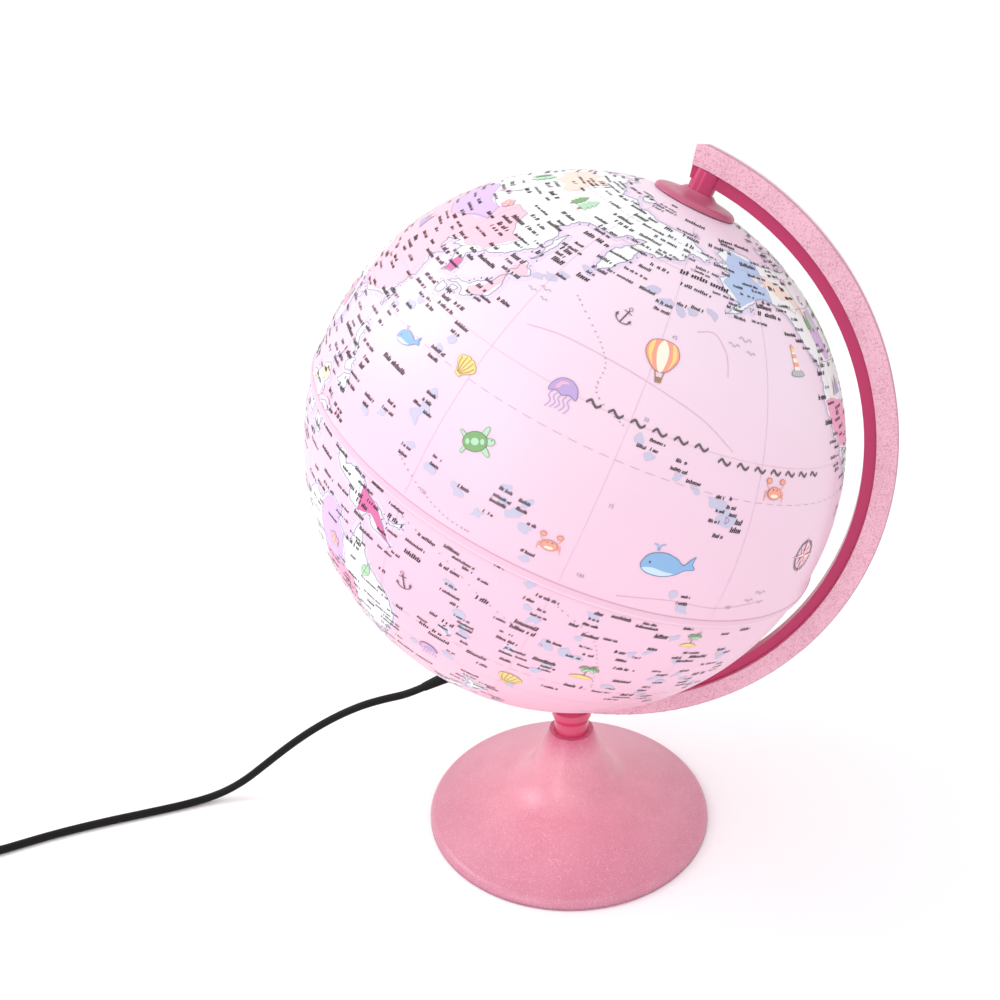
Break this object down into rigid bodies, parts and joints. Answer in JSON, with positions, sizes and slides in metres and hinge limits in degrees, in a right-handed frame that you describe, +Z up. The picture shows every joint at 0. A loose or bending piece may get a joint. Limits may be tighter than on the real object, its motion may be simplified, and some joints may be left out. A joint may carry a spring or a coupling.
{
  "type": "desk globe",
  "caption": "Illuminated children's world globe that spins on a tilted axis, held by a half-ring arm on a round weighted base, with lamp, mains cord, in-line switch and plug",
  "frame": {"origin": "centre of the base's flat underside, on the table", "axes": "+Z up, the arm lies in the XZ plane on the +X side and opens towards -X, +Y follows right-handed"},
  "size_m": [0.6766, 0.4, 0.4203],
  "materials": {
    "base_shell": "clear pink with glitter, polished",
    "base_floor": "moulded, satin",
    "base_pad": "foam, matt",
    "base_screws": "zinc plated",
    "ballast_ring": "painted steel plate",
    "neck_post": "dark magenta, polished",
    "neck_bolt": "blackened steel",
    "neck_washer": "zinc plated",
    "arm_core": "dark magenta, polished",
    "arm_hub": "dark magenta, polished",
    "arm_band": "clear pink with glitter, polished",
    "north_pin": "ground steel",
    "pole_cap": "clear mauve, polished",
    "north_bush": "white acetal",
    "upper_hemisphere": "printed map in pink and white, satin varnish",
    "lower_hemisphere": "printed map in pink and white, satin varnish",
    "south_collar": "white acetal",
    "lamp_cap": "dark magenta, polished",
    "cap_screws": "blackened steel",
    "lamp_socket": "white heat-proof plastic",
    "socket_shell": "plain brass",
    "socket_contact": "plain brass",
    "bulb_tip": "tinned contact",
    "bulb_screw_cap": "plain aluminium",
    "bulb_housing": "white, satin",
    "bulb_globe": "frosted white",
    "cord_gland": "black, soft",
    "cord_to_switch": "black vinyl sheath",
    "switch_base": "black, satin",
    "switch_cover": "black, satin",
    "switch_rocker": "black, polished",
    "switch_screws": "blackened steel",
    "cord_to_coil": "black vinyl sheath",
    "cord_coil": "black vinyl sheath",
    "cord_to_plug": "black vinyl sheath",
    "plug_body": "black moulded vinyl",
    "plug_pins": "nickel-plated brass"
  },
  "bodies": {
    "stand": {"base_shell": "base_shell", "base_floor": "base_floor", "base_pad": "base_pad", "base_screws": "base_screws", "ballast_ring": "ballast_ring", "neck_post": "neck_post", "neck_bolt": "neck_bolt", "neck_washer": "neck_washer", "arm_core": "arm_core", "arm_hub": "arm_hub", "arm_band": "arm_band", "north_pin": "north_pin", "pole_cap": "pole_cap", "lamp_cap": "lamp_cap", "cap_screws": "cap_screws", "lamp_socket": "lamp_socket", "socket_shell": "socket_shell", "socket_contact": "socket_contact", "bulb_tip": "bulb_tip", "bulb_screw_cap": "bulb_screw_cap", "bulb_housing": "bulb_housing", "bulb_globe": "bulb_globe", "cord_gland": "cord_gland", "cord_to_switch": "cord_to_switch", "switch_base": "switch_base", "switch_cover": "switch_cover", "switch_screws": "switch_screws", "cord_to_coil": "cord_to_coil", "cord_coil": "cord_coil", "cord_to_plug": "cord_to_plug", "plug_body": "plug_body", "plug_pins": "plug_pins"},
    "globe": {"north_bush": "north_bush", "upper_hemisphere": "upper_hemisphere", "lower_hemisphere": "lower_hemisphere", "south_collar": "south_collar"},
    "rocker": {"switch_rocker": "switch_rocker"}
  },
  "joints": [
    {"name": "globe_spin", "type": "hinge", "parent": "stand", "child": "globe", "pos_m": [0, 0, 0.256], "axis": [0.3987, 0, 0.9171], "continuous": true},
    {"name": "rocker_tilt", "type": "hinge", "parent": "stand", "child": "rocker", "pos_m": [-0.36856, -0.17942, 0.0102], "axis": [-0.6691, 0.7431, 0], "range_deg": [-18, 0]}
  ]
}
